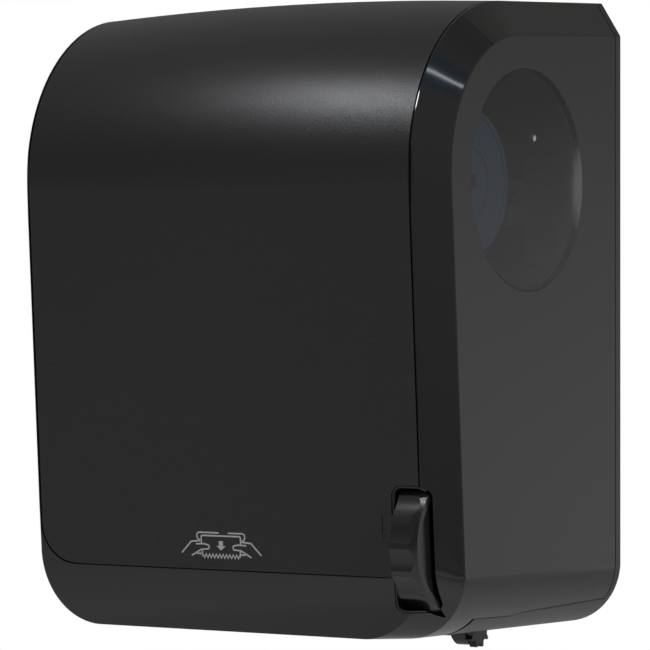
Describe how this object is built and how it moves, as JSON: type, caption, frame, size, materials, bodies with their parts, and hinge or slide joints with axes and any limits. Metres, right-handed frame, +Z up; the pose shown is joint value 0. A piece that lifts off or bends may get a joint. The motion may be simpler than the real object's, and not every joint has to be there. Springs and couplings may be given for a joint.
{
  "type": "wall-mounted roll towel dispenser",
  "caption": "Wall-mounted roll towel dispenser: hinged cover, smoke windows, thumb feed wheel, geared pull drum with swinging knife, roll hubs and lock.",
  "frame": {"origin": "centre of the four wall screws on the wall plane", "axes": "+Z up, -Y out of the wall towards the user, +X to the side with the thumb wheel"},
  "size_m": [0.3318, 0.2459, 0.4244],
  "materials": {
    "plate_black": "satin",
    "cover_satin": "satin",
    "cover_gloss": "gloss",
    "panel_satin": "satin",
    "window_smoke": "gloss",
    "frame_grey": "satin",
    "drum_grey": "satin",
    "bush_white": "satin",
    "disc_blue": "gloss",
    "guide_clear": "satin",
    "wheel_black": "satin",
    "rubber_black": "matte",
    "steel": "satin"
  },
  "bodies": {
    "housing": {"arm_screws": "steel", "back_plate": "plate_black", "brake_pads": "rubber_black", "drum_bushes": "bush_white", "exit_bracket": "plate_black", "frame_screws": "steel", "front_guide": "guide_clear", "hinge_pins": "steel", "idler_stud": "steel", "knife_cam": "bush_white", "lower_housing": "plate_black", "pawl_pin": "steel", "pawl_spring": "steel", "pinch_springs": "steel", "rear_guide": "guide_clear", "roll_arm_left": "frame_grey", "roll_arm_right": "frame_grey", "side_frame_left": "frame_grey", "side_frame_right": "frame_grey", "stripper_comb": "frame_grey", "tie_rods": "steel", "wheel_bush": "bush_white"},
    "cover": {"cover_shell": "cover_satin", "cover_frame": "cover_gloss", "front_panel": "panel_satin", "window_right": "window_smoke", "window_left": "window_smoke", "pocket_liner": "plate_black", "lock_body": "steel"},
    "lock": {"lock_core": "steel", "lock_cam": "steel"},
    "drum": {"drum_shell_slotted": "drum_grey", "drum_shell_plain": "drum_grey", "grip_bands": "rubber_black", "drum_shaft": "steel", "drum_gear": "bush_white", "ratchet_wheel": "bush_white"},
    "knife": {"knife_carrier": "drum_grey", "knife_blade": "steel"},
    "pinch": {"pinch_shaft": "steel", "pinch_tyres": "rubber_black"},
    "idler": {"idler_gear": "bush_white"},
    "wheel": {"thumb_wheel": "wheel_black", "wheel_axle": "steel", "wheel_pinion": "bush_white"},
    "exit_roller": {"exit_roller": "plate_black", "toothed_wheel": "plate_black"},
    "hub_right": {"roll_hub_right": "frame_grey", "hub_disc_right": "disc_blue"},
    "hub_left": {"roll_hub_left": "frame_grey", "hub_disc_left": "disc_blue"},
    "pawl": {"pawl": "bush_white"}
  },
  "joints": [
    {"name": "cover_open", "type": "hinge", "parent": "housing", "child": "cover", "pos_m": [0, -0.18, -0.19], "axis": [1, 0, 0], "range_deg": [0, 95]},
    {"name": "lock_turn", "type": "hinge", "parent": "cover", "child": "lock", "pos_m": [0, -0.03, 0.21223], "axis": [0, 0, 1], "range_deg": [0, 90]},
    {"name": "drum_spin", "type": "hinge", "parent": "housing", "child": "drum", "pos_m": [0, -0.11363, -0.07272], "axis": [1, 0, 0], "continuous": true},
    {"name": "knife_swing", "type": "hinge", "parent": "drum", "child": "knife", "pos_m": [0, -0.07582, -0.07341], "axis": [-1, 0, 0], "range_deg": [0, 25]},
    {"name": "pinch_spin", "type": "hinge", "parent": "housing", "child": "pinch", "pos_m": [0, -0.16627, -0.05862], "axis": [1, 0, 0], "continuous": true},
    {"name": "idler_spin", "type": "hinge", "parent": "housing", "child": "idler", "pos_m": [0, -0.17254, -0.10019], "axis": [1, 0, 0], "continuous": true},
    {"name": "wheel_spin", "type": "hinge", "parent": "housing", "child": "wheel", "pos_m": [0, -0.19379, -0.137], "axis": [1, 0, 0], "continuous": true},
    {"name": "exit_roller_spin", "type": "hinge", "parent": "housing", "child": "exit_roller", "pos_m": [0, -0.105, -0.1975], "axis": [1, 0, 0], "continuous": true},
    {"name": "hub_right_spin", "type": "hinge", "parent": "housing", "child": "hub_right", "pos_m": [0, -0.1229, 0.0917], "axis": [1, 0, 0], "continuous": true},
    {"name": "hub_left_spin", "type": "hinge", "parent": "housing", "child": "hub_left", "pos_m": [0, -0.1229, 0.0917], "axis": [1, 0, 0], "continuous": true},
    {"name": "pawl_lift", "type": "hinge", "parent": "housing", "child": "pawl", "pos_m": [0, -0.08758, -0.05087], "axis": [-1, 0, 0], "range_deg": [-8.5, 4]}
  ],
  "couplings": [
    {"joint": "pinch_spin", "follows": "drum_spin", "ratio": -5.0222},
    {"joint": "idler_spin", "follows": "drum_spin", "ratio": -2.25},
    {"joint": "wheel_spin", "follows": "drum_spin", "ratio": 2}
  ]
}
